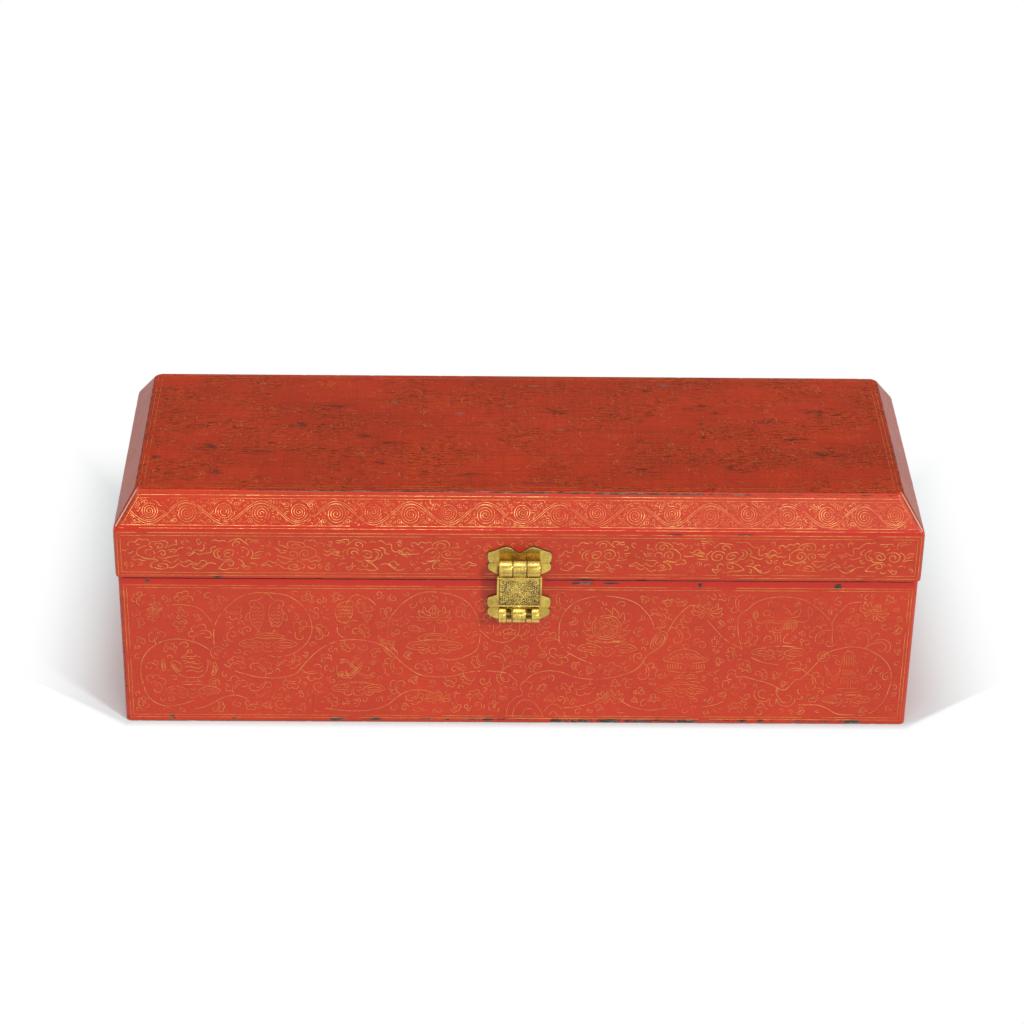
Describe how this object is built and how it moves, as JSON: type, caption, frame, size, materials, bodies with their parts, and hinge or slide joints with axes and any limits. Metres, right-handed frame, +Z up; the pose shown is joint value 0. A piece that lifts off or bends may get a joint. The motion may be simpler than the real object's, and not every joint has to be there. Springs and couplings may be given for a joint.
{
  "type": "lacquer sutra box",
  "caption": "Long rectangular box for a folded book: hinged lid with bevelled edges, brass hasp over a lock plate in front, red lacquer with gilded line ornament.",
  "frame": {"origin": "centre of the case's underside, in the plane that stands on a table", "axes": "+X along the length to the right of someone who faces the hasp, -Y towards the front with the hasp, +Z up"},
  "size_m": [0.407, 0.1624, 0.134],
  "materials": {
    "red_lacquer": "glossy red lacquer over a wooden core, worn on the lid",
    "inner_lacquer": "plain dark red lacquer, satin",
    "brass": "polished brass with dark traces in the corners",
    "pin_brass": "dull brass",
    "gilt": "gold leaf rubbed into incised lines, partly worn away"
  },
  "bodies": {
    "case": {"case_front_board": "red_lacquer", "case_back_board": "red_lacquer", "case_left_board": "red_lacquer", "case_right_board": "red_lacquer", "case_floor_board": "inner_lacquer", "lock_plate": "brass", "lock_plate_clinch_left": "pin_brass", "lock_plate_clinch_right": "pin_brass", "left_hinge_case_leaf": "brass", "left_hinge_pin": "pin_brass", "left_hinge_case_leaf_clinch_left": "pin_brass", "left_hinge_case_leaf_clinch_right": "pin_brass", "right_hinge_case_leaf": "brass", "right_hinge_pin": "pin_brass", "right_hinge_case_leaf_clinch_left": "pin_brass", "right_hinge_case_leaf_clinch_right": "pin_brass"},
    "lid": {"lid_front_wall": "red_lacquer", "lid_back_wall": "red_lacquer", "lid_left_wall": "red_lacquer", "lid_right_wall": "red_lacquer", "lid_front_rail": "red_lacquer", "lid_back_rail": "red_lacquer", "lid_left_rail": "red_lacquer", "lid_right_rail": "red_lacquer", "lid_top_panel": "red_lacquer", "hasp_plate": "brass", "hasp_plate_clinch_left": "pin_brass", "hasp_plate_clinch_right": "pin_brass", "hasp_pin": "pin_brass", "left_hinge_lid_leaf": "brass", "left_hinge_lid_leaf_clinch_left": "pin_brass", "left_hinge_lid_leaf_clinch_right": "pin_brass", "right_hinge_lid_leaf": "brass", "right_hinge_lid_leaf_clinch_left": "pin_brass", "right_hinge_lid_leaf_clinch_right": "pin_brass"},
    "hasp": {"hasp": "brass"}
  },
  "joints": [
    {"name": "lid_hinge", "type": "hinge", "parent": "case", "child": "lid", "pos_m": [0, 0.07665, 0.0882], "axis": [-1, 0, 0], "range_deg": [0, 180]},
    {"name": "hasp_hinge", "type": "hinge", "parent": "lid", "child": "hasp", "pos_m": [0, -0.07755, 0.0994], "axis": [-1, 0, 0], "range_deg": [0, 185]}
  ]
}
